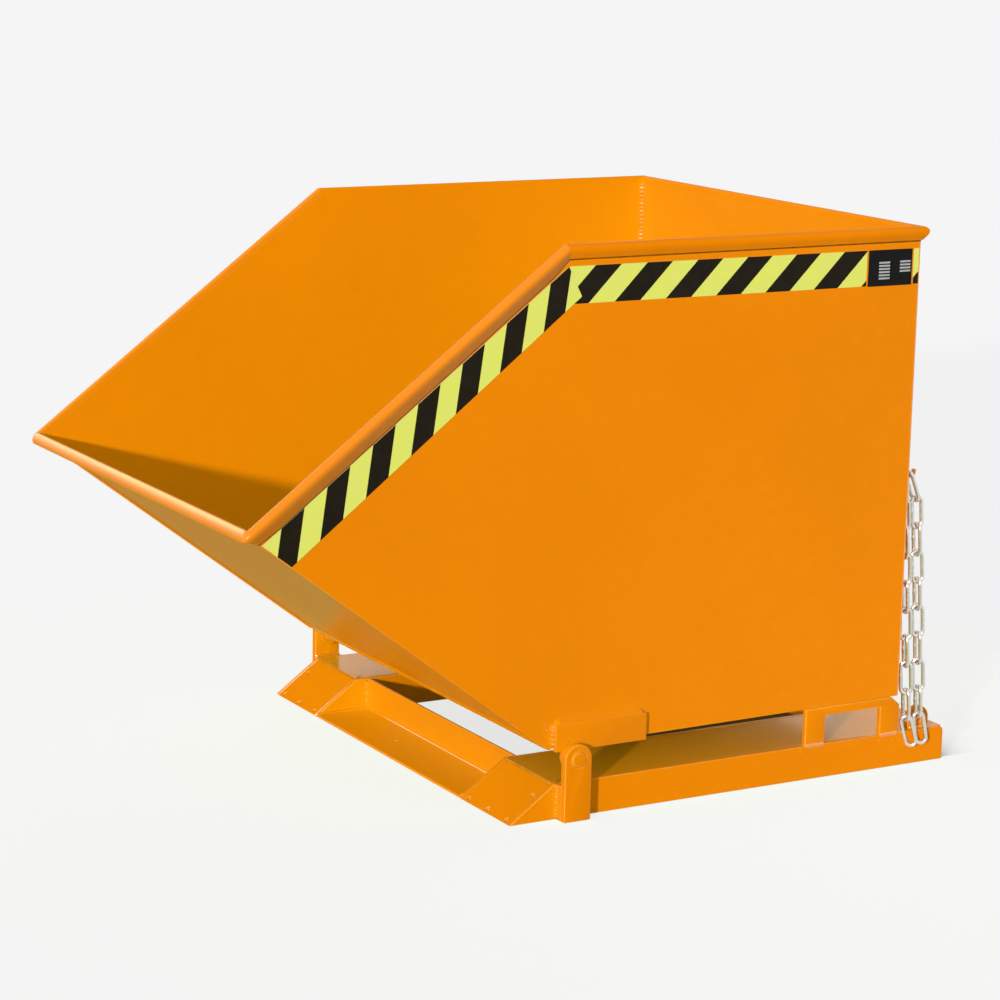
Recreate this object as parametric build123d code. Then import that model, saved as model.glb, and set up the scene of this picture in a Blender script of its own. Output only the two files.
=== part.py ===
from build123d import *
import math
import os

# Tipping hopper: a sheet steel skip that pivots on two pins at the front of a base with fork pockets.
# Millimetres. +X points to the rear, where the forks go in, the pouring lip is at -X, +Z is up.
# The origin is on the ground, in the middle of the whole object's length and width.

# Hopper sheet work
hopper_width = 875.0
rim_height = 943.0
top_run = 698.0
floor_run = 702.0
floor_rise = 6.0
slope_angle = 37.0
front_angle = 37.0
sheet = 3.0

# Rolled rim along the top edges of the hopper
rim_radius = 7.0
rim_tail = 25.0
slope_rim_tail = 32.5
rim_wall = 2.5
rim_lap = 1.0

# Base frame with two fork pockets
rail_proud = 2.5
rear_overhang = 102.3
deck_height = 60.0
hopper_lift = 60.5
deck_ahead = 29.0
deck_plate = 5.0
rail_plate = 8.0
pocket_width = 154.0
ramp_length = 83.4
ramp_plate = 5.0
rail_corner = 9.0
cross_plate_thick = 5.0
cross_plate_setback = 21.0
front_floor_plate = 4.0
rear_cross_inset = 70.0
strap_width = 60.0
strap_plate = 5.0
strap_front_inset = 150.0
strap_rear_inset = 60.0
drain_hole = 8.0
drain_edge = 7.0
drain_side = 14.0
drain_high = 55.0
floor_hole_offset = 60.0

# Tipping hinge
pin_setback = 38.0
pin_floor_gap = 1.5
pin_diameter = 28.0
pin_running_fit = 0.05
pin_proud = 3.0
pin_chamfer = 2.5
pin_inner_reach = 3.5
ear_wall = 6.5
hinge_plate_thick = 10.0
hinge_plate_front = 33.0
hinge_plate_rear = 141.0
hinge_plate_drop = 4.5
hinge_plate_lap = 41.5
washer_wall = 5.5
washer_thick = 4.0
washer_play = 0.25
post_width = 50.0
post_thick = 14.0

# Rear seats that carry the lowered hopper
seat_length = 199.0
seat_rear_reach = 4.0
seat_thick = 10.0
seat_leg = 41.0
seat_bar = 14.0
seat_chamfer_run = 18.0
seat_chamfer_drop = 15.0
seat_clearance = 0.3

# Chain eyes on the base
eye_radius = 22.0
eye_hole = 16.0
eye_rise = 16.0
eye_thick = 12.0
eye_rear_inset = 45.3
eye_side_inset = 14.0

# Hook on the rear wall and the chain that hangs doubled on it
hook_rod = 8.0
hook_side_inset = 35.5
hook_tip_rise = 11.5
chain_wire = 7.0
chain_pitch = 48.0
link_slack = 4.0
links_per_strand = 10
link_play = 0.3
chain_rail_lap = 32.0
strand_seat_gap = 1.5
strand_gap = 1.5
chain_rest_gap = 0.6

# Marking tape and rating plate
tape_width = 60.0
tape_drop = 34.0
tape_thick = 0.4
tape_inset = 1.5
label_width = 90.0
label_height = 61.0
label_rear_inset = 16.0
label_thick = 1.0
label_gap = 3.5

# Cutters run past the faces they cut by this much
overcut = 1.0

# Lines of the hopper's side, as points and directions (x, z)
half_width = hopper_width / 2
half_base = half_width + rail_proud
floor_front_height = deck_height + hopper_lift
rim_offset = rim_radius - sheet
rim_seat = rim_radius + rim_lap
slope_down = (-math.cos(math.radians(slope_angle)), -math.sin(math.radians(slope_angle)))
slope_up = (-math.sin(math.radians(slope_angle)), math.cos(math.radians(slope_angle)))
front_up = (-math.cos(math.radians(front_angle)), math.sin(math.radians(front_angle)))
front_out = (-math.sin(math.radians(front_angle)), -math.cos(math.radians(front_angle)))
level = (1.0, 0.0)
plumb = (0.0, 1.0)


def moved(point, direction, distance):
    """A point carried along a direction."""
    return (point[0] + distance * direction[0], point[1] + distance * direction[1])


def meet(point, direction, other_point, other_direction):
    """Where the line through a point crosses the line through another."""
    gap = (other_point[0] - point[0], other_point[1] - point[1])
    turn = direction[0] * other_direction[1] - direction[1] * other_direction[0]
    distance = (gap[0] * other_direction[1] - gap[1] * other_direction[0]) / turn
    return moved(point, direction, distance)


def lip_axis_from(wall_x):
    """Centre of the lip's roll, on the slope's roll and flush with the front plate's inner face."""
    slope_roll = moved((wall_x - top_run, rim_height), slope_up, -rim_radius)
    front_roll = moved((wall_x - floor_run, floor_front_height), front_out, rim_offset)
    return meet(slope_roll, slope_down, front_roll, front_up)


# The length runs from the lip's nose to the rear end of the rails, with the origin halfway
lip_reach = rim_radius - lip_axis_from(0.0)[0]
wall_x = (lip_reach - rear_overhang) / 2
base_rear = wall_x + rear_overhang
lip_axis = lip_axis_from(wall_x)
knee = (wall_x - top_run, rim_height)
foot = (wall_x - floor_run, floor_front_height)
floor_length = math.hypot(floor_run, floor_rise)
floor_back = (floor_run / floor_length, floor_rise / floor_length)
floor_up = (-floor_back[1], floor_back[0])
pin_radius = pin_diameter / 2
pin_x = foot[0] + pin_setback
pin_height = floor_front_height - pin_floor_gap - pin_radius
ear_radius = pin_radius + ear_wall
deck_front = pin_x - deck_ahead
base_front = deck_front - ramp_length


def floor_under(x):
    """Height of the floor's underside."""
    return floor_front_height + floor_rise * (x - foot[0]) / floor_run


def below_rim(drop):
    """Where a line that runs below the level rim turns to follow the sloped rim."""
    return meet((wall_x, rim_height - drop), level, moved(knee, slope_up, -drop), slope_down)


def on_front_edge(drop, inset):
    """Where a line below the sloped rim meets the wall's lower front edge, or a line inside it."""
    return meet(moved(knee, slope_up, -drop), slope_down, moved(foot, front_out, -inset), front_up)


def plate(points, y_low, y_high):
    """A flat plate with an outline in X and Z, from one Y to another."""
    outline = Polyline([(x, y_low, z) for x, z in points], close=True)
    return extrude(make_face(outline), amount=y_high - y_low, dir=(0, 1, 0))


def side_plate(points, side, inner, outer):
    """A flat plate on one side, between two distances from the middle."""
    return plate(points, min(side * inner, side * outer), max(side * inner, side * outer))


def block(x_low, x_high, y_low, y_high, z_low, z_high):
    """A rectangular plate by its limits."""
    size = Box(x_high - x_low, y_high - y_low, z_high - z_low, align=(Align.MIN, Align.MIN, Align.MIN))
    return Pos(x_low, y_low, z_low) * size


def side_block(x_low, x_high, side, inner, outer, z_low, z_high):
    """A rectangular plate on one side, between two distances from the middle."""
    low, high = sorted((side * inner, side * outer))
    return block(x_low, x_high, low, high, z_low, z_high)


def side_rod(x, z, radius, side, inner, outer):
    """A round bar along Y on one side."""
    low, high = sorted((side * inner, side * outer))
    place = Plane((x, low, z), x_dir=(1, 0, 0), z_dir=(0, 1, 0))
    return place * Cylinder(radius, high - low, align=(Align.CENTER, Align.CENTER, Align.MIN))


def rim_outline(tail_length):
    """Section of the rolled rim: u outwards from the wall's outer face, w up to the rim's top."""
    centre = (rim_offset, -rim_radius)
    tail = (0.0, -tail_length)
    reach = math.dist(centre, tail)
    bearing = math.atan2(centre[1] - tail[1], centre[0] - tail[0]) - math.asin(rim_radius / reach)
    touch = moved(tail, (math.cos(bearing), math.sin(bearing)), math.sqrt(reach**2 - rim_radius**2))
    roll = ThreePointArc((-sheet, -rim_radius), (rim_offset, 0.0), touch)
    straight = Polyline(touch, tail, (0.0, -rim_seat), (-sheet, -rim_seat), (-sheet, -rim_radius))
    return make_face(roll + straight)


def rim_bar(origin, outwards, upwards, ends, tail_length=rim_tail, hollow=True):
    """A length of rolled rim, cut to a mitre at each end: (corner, own direction, next direction)."""
    along = Vector(*outwards).cross(Vector(*upwards))
    section = rim_outline(tail_length)
    if hollow:
        section -= Pos(rim_offset, -rim_radius) * Circle(rim_radius - rim_wall)
    place = Plane(origin, x_dir=outwards, z_dir=along)
    bar = extrude(place * section, amount=lip_reach, both=True)
    for corner, own, other in ends:
        bar = split(bar, bisect_by=Plane(corner, z_dir=Vector(*own) - Vector(*other)), keep=Keep.TOP)
    return bar


nodes = {}
sides = {"left": -1, "right": 1}

# Corners of the rim, on the centre line of the roll
rear_to_front = (-1, 0, 0)
up_slope = (-slope_down[0], 0, -slope_down[1])
down_slope = (slope_down[0], 0, slope_down[1])
knee_axis = below_rim(rim_radius)


def corner_at(point, side):
    """A rim corner on one side."""
    return (point[0], side * (half_width + rim_offset), point[1])


# Lip and rear rim, between the two sides
lip_top = moved(moved(lip_axis, front_out, -rim_offset), front_up, rim_radius)
lip_origin = (lip_top[0], 0, lip_top[1])
lip_outwards = (front_out[0], 0, front_out[1])
lip_upwards = (front_up[0], 0, front_up[1])
lip_ends = [(corner_at(lip_axis, side), (0, -side, 0), up_slope) for side in sides.values()]
lip_core = rim_bar(lip_origin, lip_outwards, lip_upwards, lip_ends, hollow=False)
nodes["rim_lip"] = rim_bar(lip_origin, lip_outwards, lip_upwards, lip_ends)
rear_corner = (wall_x + rim_offset, rim_height - rim_radius)
rear_ends = [(corner_at(rear_corner, side), (0, -side, 0), rear_to_front) for side in sides.values()]
nodes["rim_rear"] = rim_bar((wall_x, 0, rim_height), (1, 0, 0), (0, 0, 1), rear_ends)

# Floor, front plate and rear wall, between the side walls
inner_width = half_width - sheet
floor_top = moved(foot, floor_up, sheet)
floor_front_top = meet(floor_top, floor_back, moved(foot, front_out, -sheet), front_up)
floor_rear = (wall_x, floor_under(wall_x))
floor_rear_top = meet(floor_top, floor_back, floor_rear, plumb)
wall_rear_foot = meet(floor_top, floor_back, (wall_x - sheet, 0.0), plumb)
front_end = moved(lip_top, front_up, -rim_seat)
front_outline = [foot, front_end, moved(front_end, front_out, -sheet), floor_front_top]
wall_top = rim_height - rim_seat
rear_outline = [floor_rear_top, (wall_x, wall_top), (wall_x - sheet, wall_top), wall_rear_foot]
nodes["hopper_floor"] = plate([foot, floor_rear, floor_rear_top, floor_front_top], -inner_width, inner_width)
nodes["hopper_front_plate"] = plate(front_outline, -inner_width, inner_width)
nodes["hopper_rear_wall"] = plate(rear_outline, -inner_width, inner_width)

# Side walls, side rims and hinge plates
wall_outline = [foot, floor_rear, (wall_x, wall_top), below_rim(rim_seat), on_front_edge(rim_seat, 0.0)]
hinge_outline = [
    (pin_x - hinge_plate_front, floor_front_height - hinge_plate_drop),
    (pin_x + hinge_plate_rear, floor_front_height - hinge_plate_drop),
    (pin_x + hinge_plate_rear, floor_front_height + hinge_plate_lap),
    (pin_x - hinge_plate_front, floor_front_height + hinge_plate_lap),
]
ear_face = half_width + hinge_plate_thick
pin_bore = pin_radius + pin_running_fit
for name, side in sides.items():
    nodes["hopper_side_" + name] = side_plate(wall_outline, side, inner_width, half_width) - lip_core
    out = (0, side, 0)
    top_ends = [
        (corner_at(rear_corner, side), rear_to_front, (0, -side, 0)),
        (corner_at(knee_axis, side), (1, 0, 0), down_slope),
    ]
    slope_ends = [
        (corner_at(knee_axis, side), down_slope, (1, 0, 0)),
        (corner_at(lip_axis, side), up_slope, (0, -side, 0)),
    ]
    top_origin = (wall_x, side * half_width, rim_height)
    slope_origin = (knee[0], side * half_width, knee[1])
    nodes["rim_top_" + name] = rim_bar(top_origin, out, (0, 0, 1), top_ends)
    slope_upwards = (slope_up[0], 0, slope_up[1])
    nodes["rim_slope_" + name] = rim_bar(slope_origin, out, slope_upwards, slope_ends, slope_rim_tail)
    hinge_plate = side_plate(hinge_outline, side, half_width, ear_face)
    hinge_plate += side_rod(pin_x, pin_height, ear_radius, side, half_width, ear_face)
    hinge_plate -= side_rod(pin_x, pin_height, pin_bore, side, half_width - overcut, ear_face + overcut)
    nodes["hinge_plate_" + name] = hinge_plate

# Marking tape along both sides, and the rating plate on the left
tape_low = tape_drop + tape_width
label_rear = wall_x - label_rear_inset
label_front = label_rear - label_width
slope_tape = [
    below_rim(tape_drop),
    on_front_edge(tape_drop, tape_inset),
    on_front_edge(tape_low, tape_inset),
    below_rim(tape_low),
]


def level_tape(x_end):
    """Outline of the level tape from the knee to its rear end."""
    end = [(x_end, rim_height - tape_low), (x_end, rim_height - tape_drop)]
    return [below_rim(tape_drop), below_rim(tape_low)] + end


tape_face = half_width + tape_thick
for name, side in sides.items():
    nodes["tape_slope_" + name] = side_plate(slope_tape, side, half_width, tape_face)
nodes["tape_top_right"] = side_plate(level_tape(wall_x - tape_inset), 1, half_width, tape_face)
tape_rest = side_block(
    label_rear + label_gap,
    wall_x - tape_inset,
    -1,
    half_width,
    tape_face,
    rim_height - tape_low,
    rim_height - tape_drop,
)
tape_run = side_plate(level_tape(label_front - label_gap), -1, half_width, tape_face)
nodes["tape_top_left"] = tape_run + tape_rest
label_face = half_width + label_thick
label_top = rim_height - tape_drop
label_low = label_top - label_height
nodes["rating_plate"] = side_block(label_front, label_rear, -1, half_width, label_face, label_low, label_top)

# Rails: flat bars on edge, cut to the ramp's slope in front and rounded behind
rail_outline = [(base_front, 0.0), (base_rear, 0.0), (base_rear, deck_height), (deck_front, deck_height)]
pocket_outer = half_base - rail_plate
pocket_inner = pocket_outer - pocket_width
middle = pocket_inner - rail_plate
ramp_tilt = math.atan2(deck_height, ramp_length)
ramp_up = (math.cos(ramp_tilt), math.sin(ramp_tilt))
ramp_normal = (-ramp_up[1], ramp_up[0])
ramp_low = moved((base_front, 0.0), ramp_normal, -ramp_plate)
ramp_outline = [
    (base_front, 0.0),
    meet(ramp_low, ramp_up, (0.0, 0.0), level),
    meet(ramp_low, ramp_up, (0.0, deck_height - deck_plate), level),
    (deck_front, deck_height),
]
deck_outline = [
    (deck_front, deck_height),
    ramp_outline[2],
    (base_rear, deck_height - deck_plate),
    (base_rear, deck_height),
]


def rail(side, inner):
    """One rail, with its rear upper corner rounded."""
    bar = side_plate(rail_outline, side, inner, inner + rail_plate)
    corner = bar.edges().filter_by(Axis.Y).sort_by_distance((base_rear, side * inner, deck_height))[0]
    return fillet(corner, rail_corner)


def drain(x, y):
    """A drain hole square through the ramp at a point along its slope."""
    point = meet((base_front, 0.0), ramp_up, (x, 0.0), plumb)
    place = Plane((point[0], y, point[1]), x_dir=(0, 1, 0), z_dir=(ramp_normal[0], 0, ramp_normal[1]))
    return place * Cylinder(drain_hole / 2, 2 * (ramp_plate + overcut))


eye_x = base_rear - eye_rear_inset
eye_z = deck_height + eye_rise
eye_outer = half_base - eye_side_inset
eye_outline = [
    (eye_x - eye_radius, deck_height),
    (eye_x + eye_radius, deck_height),
    (eye_x + eye_radius, eye_z),
    (eye_x - eye_radius, eye_z),
]
seat_rear = wall_x + seat_rear_reach
seat_front = seat_rear - seat_length
seat_shoulder = seat_rear - seat_chamfer_run
seat_outline = [
    (seat_front, deck_height),
    (seat_rear, deck_height),
    (seat_rear, floor_under(seat_shoulder) - seat_clearance - seat_chamfer_drop),
    (seat_shoulder, floor_under(seat_shoulder) - seat_clearance),
    (seat_front, floor_under(seat_front) - seat_clearance),
]
post_inner = ear_face + 2 * washer_play + washer_thick
post_outer = post_inner + post_thick
strap_fronts = [deck_front + strap_front_inset, base_rear - strap_rear_inset - strap_width]
for name, side in sides.items():
    nodes["outer_rail_" + name] = rail(side, pocket_outer)
    nodes["inner_rail_" + name] = rail(side, middle)
    nodes["pocket_deck_" + name] = side_plate(deck_outline, side, pocket_inner, pocket_outer)
    ramp = side_plate(ramp_outline, side, pocket_inner, pocket_outer)
    for y in (pocket_inner + drain_side, pocket_inner + pocket_width / 2, pocket_outer - drain_side):
        ramp -= drain(base_front + drain_edge, side * y)
    ramp -= drain(base_front + drain_high, side * (pocket_outer - drain_side))
    nodes["ramp_" + name] = ramp
    straps = [
        side_block(x, x + strap_width, side, pocket_inner, pocket_outer, 0.0, strap_plate)
        for x in strap_fronts
    ]
    nodes["pocket_straps_" + name] = Compound(children=straps)

    # Hinge post, its spacer on the rail, the pin and the washer between ear and post
    post = side_block(
        pin_x - post_width / 2, pin_x + post_width / 2, side, post_inner, post_outer, 0.0, pin_height
    )
    post += side_rod(pin_x, pin_height, post_width / 2, side, post_inner, post_outer)
    post -= side_rod(pin_x, pin_height, pin_radius, side, post_inner - overcut, post_outer + overcut)
    nodes["hinge_post_" + name] = post
    nodes["post_spacer_" + name] = side_block(
        pin_x - post_width / 2, pin_x + post_width / 2, side, half_base, post_inner, 0.0, deck_height
    )
    pin_inner = half_width - pin_inner_reach
    pin = side_rod(pin_x, pin_height, pin_radius, side, pin_inner, post_outer + pin_proud)
    pin_ends = pin.edges().filter_by(GeomType.CIRCLE)
    nodes["pivot_pin_" + name] = chamfer(pin_ends, pin_chamfer)
    washer_inner = ear_face + washer_play
    washer_outer = washer_inner + washer_thick
    washer = side_rod(pin_x, pin_height, pin_radius + washer_wall, side, washer_inner, washer_outer)
    washer -= side_rod(pin_x, pin_height, pin_bore, side, washer_inner - overcut, washer_outer + overcut)
    nodes["hinge_washer_" + name] = washer

    # Rear seat with its window, and the chain eye behind it
    seat = side_plate(seat_outline, side, half_base - seat_thick, half_base)
    seat -= side_block(
        seat_front + seat_leg,
        seat_rear - seat_leg,
        side,
        half_base - seat_thick - overcut,
        half_base + overcut,
        deck_height,
        floor_under(seat_front) - seat_clearance - seat_bar,
    )
    nodes["rear_seat_" + name] = seat
    eye = side_plate(eye_outline, side, eye_outer - eye_thick, eye_outer)
    eye += side_rod(eye_x, eye_z, eye_radius, side, eye_outer - eye_thick, eye_outer)
    eye &= side_block(
        eye_x - eye_radius,
        eye_x + eye_radius,
        side,
        eye_outer - eye_thick,
        eye_outer,
        deck_height,
        eye_z + eye_radius,
    )
    eye -= side_rod(eye_x, eye_z, eye_hole / 2, side, eye_outer - eye_thick - overcut, eye_outer + overcut)
    nodes["chain_eye_" + name] = eye

# Plates between the two pockets
cross_front = deck_front + cross_plate_setback
nodes["front_cross_plate"] = block(
    cross_front, cross_front + cross_plate_thick, -middle, middle, 0.0, deck_height
)
floor_plate = block(base_front, cross_front, -middle, middle, 0.0, front_floor_plate)
floor_hole = Pos((base_front + cross_front) / 2, floor_hole_offset, 0) * Cylinder(
    drain_hole / 2, 2 * (front_floor_plate + overcut)
)
nodes["front_floor_plate"] = floor_plate - floor_hole
rear_cross = base_rear - rear_cross_inset
nodes["rear_cross_plate"] = block(
    rear_cross - rail_plate, rear_cross, -middle, middle, 0.0, deck_height
)

# Hook: a round bar welded to the rear wall, its tip bent up, so high that the chain ends below the rail's top
link_width = 3 * chain_wire + link_slack
link_step = chain_pitch - link_play
first_link = hook_rod / 2 + link_play - chain_pitch / 2
strand_reach = (links_per_strand - 1) * link_step - first_link + chain_pitch / 2 + chain_wire
hook_y = -(half_width - hook_side_inset)
hook_height = deck_height - chain_rail_lap + strand_reach
hook_bend = hook_rod
strand_near = seat_rear + strand_seat_gap + link_width / 2
strand_far = strand_near + link_width + strand_gap
far_seat = strand_near + chain_wire + strand_gap
hook_tip = far_seat + chain_wire / 2 + hook_bend + link_play
hook_path = FilletPolyline(
    (wall_x, hook_y, hook_height),
    (hook_tip, hook_y, hook_height),
    (hook_tip, hook_y, hook_height + hook_tip_rise),
    radius=hook_bend,
)
hook_section = Plane(hook_path @ 0, z_dir=hook_path % 0) * Circle(hook_rod / 2)
nodes["chain_hook"] = sweep(hook_section, path=hook_path)


link_bend = (link_width - chain_wire) / 2


def link():
    """One long chain link of round wire, upright in the YZ plane, centred on the origin."""
    straight = chain_pitch + chain_wire - 2 * link_bend
    leg = Cylinder(chain_wire / 2, straight)
    legs = Pos(0, link_bend, 0) * leg + Pos(0, -link_bend, 0) * leg
    wire = Plane.XY * Pos(0, link_bend) * Circle(chain_wire / 2)
    bow = Pos(0, 0, straight / 2) * revolve(wire, axis=Axis.X, revolution_arc=180)
    return legs + bow + mirror(bow, about=Plane.XY)


# The chain leans out just far enough for its lowest links to hang clear of the rail's outer face
rail_edge = (half_base + hook_y, hook_height - deck_height)
edge_reach = math.hypot(*rail_edge)
edge_standoff = chain_wire / 2 + chain_rest_gap
chain_lean = math.degrees(math.atan2(*rail_edge) + math.asin(edge_standoff / edge_reach))
one_link = link()
quarter_turn = 90

# The far strand's top link leans in to the hook, turning in the bow of the link below it
lean_arm = link_step + link_bend
lean_in = math.asin((strand_far - far_seat) / lean_arm)
lean_pivot = (chain_pitch + chain_wire) / 2 - lean_arm
leaning_link = Pos(0, 0, lean_pivot) * Rot(Y=-math.degrees(lean_in)) * Pos(0, 0, -lean_pivot) * one_link
lean_lift = lean_arm * (1 - math.cos(lean_in))
links = []
for x, top_link, lift in ((strand_near, one_link, 0.0), (strand_far, leaning_link, lean_lift)):
    for number in range(links_per_strand):
        drop = first_link - number * link_step + lift
        turn = quarter_turn * (number % 2)
        place = Pos(x, hook_y, hook_height) * Rot(X=-chain_lean) * Pos(0, 0, drop) * Rot(Z=turn)
        links.append(place * (one_link if number else top_link))
nodes["safety_chain"] = Compound(children=links)

os.makedirs("parts", exist_ok=True)
for name, shape in nodes.items():
    export_step(shape, "parts/" + name + ".step")
print("tip axis x, z", round(pin_x, 3), round(pin_height, 3))
print("chain hook x, y, z", round(strand_far, 3), round(hook_y, 3), round(hook_height, 3))
print("rear wall, base rear, base front", round(wall_x, 3), round(base_rear, 3), round(base_front, 3))
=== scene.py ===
import math
import random

import bmesh
import bpy
from mathutils import Matrix, Quaternion, Vector


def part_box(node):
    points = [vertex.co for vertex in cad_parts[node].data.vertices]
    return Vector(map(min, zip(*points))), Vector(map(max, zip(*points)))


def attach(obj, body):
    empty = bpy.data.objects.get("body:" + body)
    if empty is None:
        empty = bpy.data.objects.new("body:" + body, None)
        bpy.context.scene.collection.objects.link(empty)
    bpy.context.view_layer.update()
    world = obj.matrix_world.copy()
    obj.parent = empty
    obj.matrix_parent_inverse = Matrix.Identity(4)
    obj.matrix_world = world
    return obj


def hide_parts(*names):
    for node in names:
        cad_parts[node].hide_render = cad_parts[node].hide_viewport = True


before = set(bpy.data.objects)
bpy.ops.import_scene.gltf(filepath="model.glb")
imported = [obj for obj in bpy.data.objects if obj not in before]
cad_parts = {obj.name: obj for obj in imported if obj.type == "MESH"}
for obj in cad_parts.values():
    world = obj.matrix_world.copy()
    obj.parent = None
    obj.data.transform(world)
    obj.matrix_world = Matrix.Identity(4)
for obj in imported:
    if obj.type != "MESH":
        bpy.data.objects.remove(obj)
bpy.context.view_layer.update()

# Rails of the base
# Four flat steel bars on edge that stand on the ground and wall in the two fork pockets. They are sawn to the
# ramps' slope in front and rounded behind, and the grinder breaks their edges before the frame is painted.
sides = {"left": -1, "right": 1}
orange = (0.86, 0.240, 0.001)
# Lighter orange of thin paint on edges, partly a painted highlight along them
thin_coat_highlight_orange = (0.95, 0.46, 0.10)
dust_colour = (0.50, 0.30, 0.08)
# Dark brown of painted shade, put in gaps and under the rim
painted_shade_colour = (0.10, 0.040, 0.003)
bounce_colour = (0.84, 0.96, 0.40)
noise_range = (0.2, 0.8)
facing_up = (0.5, 0.95)
millimetre = 0.001
same_point = 1e-5
flat_angle = math.radians(0.4)
curved_angle = math.radians(19)
rail_edge = 0.0011
edge_steps = 2


def set_inputs(tree, node, inputs):
    """Sets a node's inputs to values, or joins them to other nodes' sockets."""
    for key, value in inputs.items():
        if isinstance(value, bpy.types.NodeSocket):
            tree.links.new(value, node.inputs[key])
        else:
            node.inputs[key].default_value = value


def add_node(tree, kind, inputs=None, **settings):
    """A shader node with its settings and inputs."""
    made = tree.nodes.new("ShaderNode" + kind)
    for name, value in settings.items():
        setattr(made, name, value)
    set_inputs(tree, made, inputs or {})
    return made


def sum_of(tree, operation, *values):
    """The result of one sum on numbers or sockets."""
    return add_node(tree, "Math", dict(enumerate(values)), operation=operation).outputs[0]


def product(tree, first, *others):
    """Numbers or sockets multiplied together."""
    for other in others:
        first = sum_of(tree, "MULTIPLY", first, other)
    return first


def remapped(tree, value, before=(0.0, 1.0), after=(0.0, 1.0), smooth=False):
    """A value carried from one range to another, easing in and out if smooth."""
    ends = {"From Min": before[0], "From Max": before[1], "To Min": after[0], "To Max": after[1]}
    kind = "SMOOTHSTEP" if smooth else "LINEAR"
    return add_node(tree, "MapRange", {"Value": value, **ends}, interpolation_type=kind).outputs[0]


def speckle(tree, scale, detail, low=0.0, high=1.0):
    """Noise fixed to the piece, spread between two values."""
    place = add_node(tree, "TexCoord").outputs["Object"]
    grain = add_node(tree, "TexNoise", {"Vector": place, "Scale": scale, "Detail": detail}).outputs["Fac"]
    return remapped(tree, grain, noise_range, (low, high), smooth=True)


def mixed(tree, share, first, second):
    """Two colours mixed by a share, through the Mix node's own colour sockets."""
    mix = add_node(tree, "Mix", {0: share}, data_type="RGBA")
    for socket, colour in ((mix.inputs[6], first), (mix.inputs[7], second)):
        if isinstance(colour, bpy.types.NodeSocket):
            tree.links.new(colour, socket)
        else:
            socket.default_value = (*colour, 1.0)
    return mix.outputs[2]


def painted_mask(tree, name):
    """A value that the faces of the mesh carry under a name."""
    return add_node(tree, "Attribute", attribute_name=name).outputs["Fac"]


def bumped(tree, height):
    """The surface's normal over a height in millimetres."""
    return add_node(tree, "Bump", {"Height": height, "Distance": millimetre}).outputs["Normal"]


def new_group(name, inputs, output, kind):
    """An empty node group: its tree, its input sockets and its one output socket."""
    tree = bpy.data.node_groups.new(name, "ShaderNodeTree")
    for label, value in inputs.items():
        tree.interface.new_socket(label, in_out="INPUT", socket_type="NodeSocketFloat").default_value = value
    tree.interface.new_socket(output, in_out="OUTPUT", socket_type="NodeSocket" + kind)
    return tree, tree.nodes.new("NodeGroupInput").outputs, tree.nodes.new("NodeGroupOutput").inputs[output]


def use_group(tree, group, **values):
    """A node group placed in a material with its own values; returns its output."""
    return add_node(tree, "Group", values, node_tree=group).outputs[0]


def new_material(name):
    """An empty procedural material: the material, its tree and its shader."""
    material = bpy.data.materials.new(name)
    material.use_nodes = True
    return material, material.node_tree, material.node_tree.nodes["Principled BSDF"]


# Paint lies a little thicker and thinner over a surface
paint_drift, given, result = new_group("paint_drift", {"Spread": 0.05}, "Value", "Float")
broad = speckle(paint_drift, scale=2.4, detail=2.0, low=-1.0, high=1.0)
close = speckle(paint_drift, scale=38.0, detail=3.0, low=-0.35, high=0.35)
drift = product(paint_drift, sum_of(paint_drift, "ADD", broad, close), given["Spread"])
paint_drift.links.new(sum_of(paint_drift, "ADD", drift, 1.0), result)

# It draws back from edges, where the coat is thin and lighter, and the lighter edges also stand as a painted
# highlight
thin_coat_edge_highlight, given, result = new_group("thin_coat_edge_highlight", {"Strength": 0.5}, "Mask", "Float")
patches = speckle(thin_coat_edge_highlight, scale=90.0, detail=2.0, low=0.25)
edge_faces = painted_mask(thin_coat_edge_highlight, "edge")
thin_coat_edge_highlight.links.new(product(thin_coat_edge_highlight, edge_faces, patches, given["Strength"]), result)

# Spraying leaves a fine peel, and thin sheet is never quite flat; heights in millimetres
sprayed_skin, given, result = new_group("sprayed_skin", {"Peel": 0.004, "Buckle": 0.0}, "Height", "Float")
peeled = product(sprayed_skin, speckle(sprayed_skin, scale=260.0, detail=1.0), given["Peel"])
buckled = product(sprayed_skin, speckle(sprayed_skin, scale=4.5, detail=1.0), given["Buckle"])
sprayed_skin.links.new(sum_of(sprayed_skin, "ADD", peeled, buckled), result)

# Dust settles on what faces up
settled_dust, given, result = new_group("settled_dust", {"Amount": 0.1}, "Mask", "Float")
facing = add_node(settled_dust, "TexCoord").outputs["Normal"]
upward = add_node(settled_dust, "SeparateXYZ", {0: facing}).outputs["Z"]
level_share = remapped(settled_dust, upward, facing_up)
clouds = speckle(settled_dust, scale=14.0, detail=4.0, low=0.2)
settled_dust.links.new(product(settled_dust, level_share, clouds, given["Amount"]), result)

# Painted shade: the paint is darkened in narrow gaps and under the rolled rim, where shadow falls
gap_painted_shade, given, result = new_group("gap_painted_shade", {"Strength": 0.9}, "Mask", "Float")
shade_patches = speckle(gap_painted_shade, scale=60.0, detail=2.0, low=0.75)
shaded_faces = painted_mask(gap_painted_shade, "painted_shade")
gap_painted_shade.links.new(product(gap_painted_shade, shaded_faces, shade_patches, given["Strength"]), result)


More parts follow.
